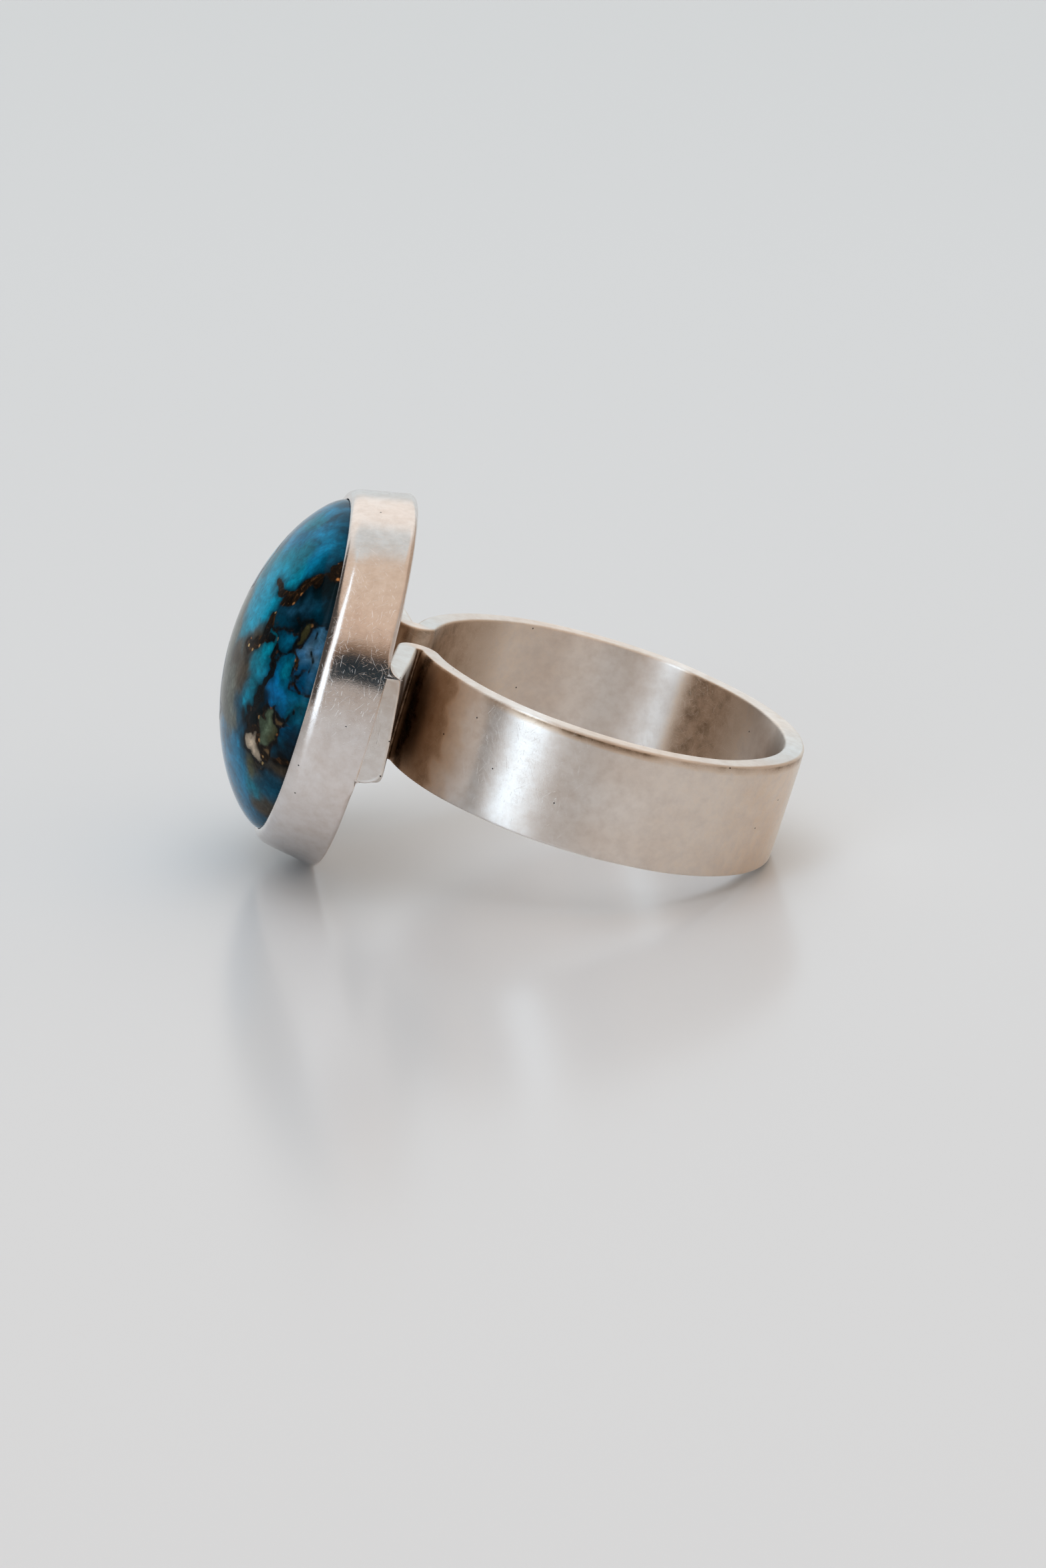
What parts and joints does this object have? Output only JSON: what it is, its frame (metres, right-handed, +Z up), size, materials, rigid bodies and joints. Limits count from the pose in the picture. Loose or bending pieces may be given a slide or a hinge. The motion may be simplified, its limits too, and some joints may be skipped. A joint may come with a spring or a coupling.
{
  "type": "turquoise ring",
  "caption": "Finger ring with a flat strip band, folded back into feet under a round cup bezel that holds a large domed turquoise.",
  "frame": {"origin": "on the surface that the ring rests on, below the centre of its box", "axes": "+X from the stone to the far side of the band, +Y across the stone and the band, +Z up from the surface"},
  "size_m": [0.0276, 0.0194, 0.0176],
  "materials": {
    "silver": "sterling silver, satin, finely scratched and slightly toned",
    "turquoise": "polished turquoise in a dark copper-brown matrix"
  },
  "bodies": {
    "root": {"ring_mount": "silver", "cabochon": "turquoise"}
  },
  "joints": []
}
